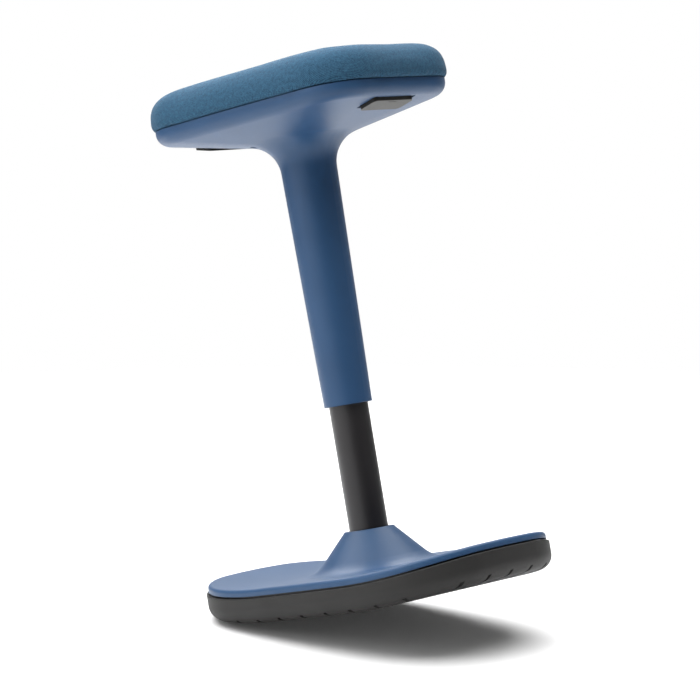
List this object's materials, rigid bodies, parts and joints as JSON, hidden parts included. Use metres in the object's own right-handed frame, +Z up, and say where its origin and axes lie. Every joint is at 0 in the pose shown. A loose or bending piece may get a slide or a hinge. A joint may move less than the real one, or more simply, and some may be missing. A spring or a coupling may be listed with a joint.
{
  "type": "perch stool",
  "caption": "Perch stool with a padded seat on a height-adjustable column over a bent rocker foot with a rubber sole.",
  "frame": {"origin": "on the floor, under the column axis", "axes": "+X to the sitter's side along the paddles, -Y to the front, +Z up"},
  "size_m": [0.456, 0.306, 0.6825],
  "materials": {
    "rubber": "matt moulded",
    "blue_plastic": "fine-grained matt",
    "black_plastic": "matt",
    "black_steel": "satin powder coat",
    "zinc_steel": "zinc plated",
    "screw_steel": "plated",
    "chromed_steel": "polished",
    "tube_steel": "black lacquer",
    "plywood": "raw",
    "foam": "open cell",
    "seat_fabric": "fine woven"
  },
  "bodies": {
    "base": {"rubber_sole": "rubber", "foot_plate": "zinc_steel", "foot_shell": "blue_plastic", "foot_screws": "screw_steel", "column_socket": "zinc_steel", "socket_bolts": "screw_steel", "socket_nuts": "zinc_steel", "standpipe": "black_steel", "bearing_disc": "zinc_steel", "guide_bush": "black_plastic", "thrust_washer_lower": "zinc_steel", "thrust_balls": "zinc_steel"},
    "spindle": {"thrust_washer_upper": "zinc_steel", "piston_rod": "chromed_steel", "retaining_clip": "zinc_steel", "bump_stop": "rubber", "piston": "zinc_steel"},
    "seat": {"pressure_tube": "tube_steel", "tube_seal": "rubber", "seat_bracket": "zinc_steel", "pivot_pin_left": "zinc_steel", "pivot_pin_right": "zinc_steel", "board_screws": "screw_steel", "shell_screws": "screw_steel", "seat_shell": "blue_plastic", "glide_ring": "black_plastic", "seat_board": "plywood", "board_nuts": "zinc_steel", "foam_pad": "foam", "cushion_cover": "seat_fabric", "lever_spring_left": "zinc_steel", "lever_spring_right": "zinc_steel"},
    "left_release": {"lever_left": "zinc_steel", "paddle_left": "black_plastic"},
    "right_release": {"lever_right": "zinc_steel", "paddle_right": "black_plastic"},
    "button": {"valve_button": "screw_steel", "button_cap": "black_plastic"}
  },
  "joints": [
    {"name": "seat_swivel", "type": "hinge", "parent": "base", "child": "spindle", "pos_m": [0, 0, 0.06], "axis": [0, 0, 1], "continuous": true},
    {"name": "seat_lift", "type": "slide", "parent": "spindle", "child": "seat", "axis": [0, 0, 1], "range_m": [-0.145, 0.055]},
    {"name": "right_paddle", "type": "hinge", "parent": "seat", "child": "right_release", "pos_m": [0.042, 0, 0.6194], "axis": [0, -1, 0], "range_deg": [0, 7], "stiffness_Nm_per_rad": 2, "springref_deg": -5.73, "deforming": ["lever_spring_right"]},
    {"name": "left_paddle", "type": "hinge", "parent": "seat", "child": "left_release", "pos_m": [-0.042, 0, 0.6194], "axis": [0, 1, 0], "range_deg": [0, 7], "stiffness_Nm_per_rad": 2, "springref_deg": -5.73, "deforming": ["lever_spring_left"]},
    {"name": "button_press", "type": "slide", "parent": "seat", "child": "button", "axis": [0, 0, -1], "range_m": [0, 0.004], "stiffness_N_per_m": 400, "springref_m": -0.002}
  ],
  "couplings": [
    {"joint": "left_paddle", "follows": "right_paddle", "ratio": 1},
    {"joint": "button_press", "follows": "right_paddle", "m_per_rad": 0.0327}
  ]
}
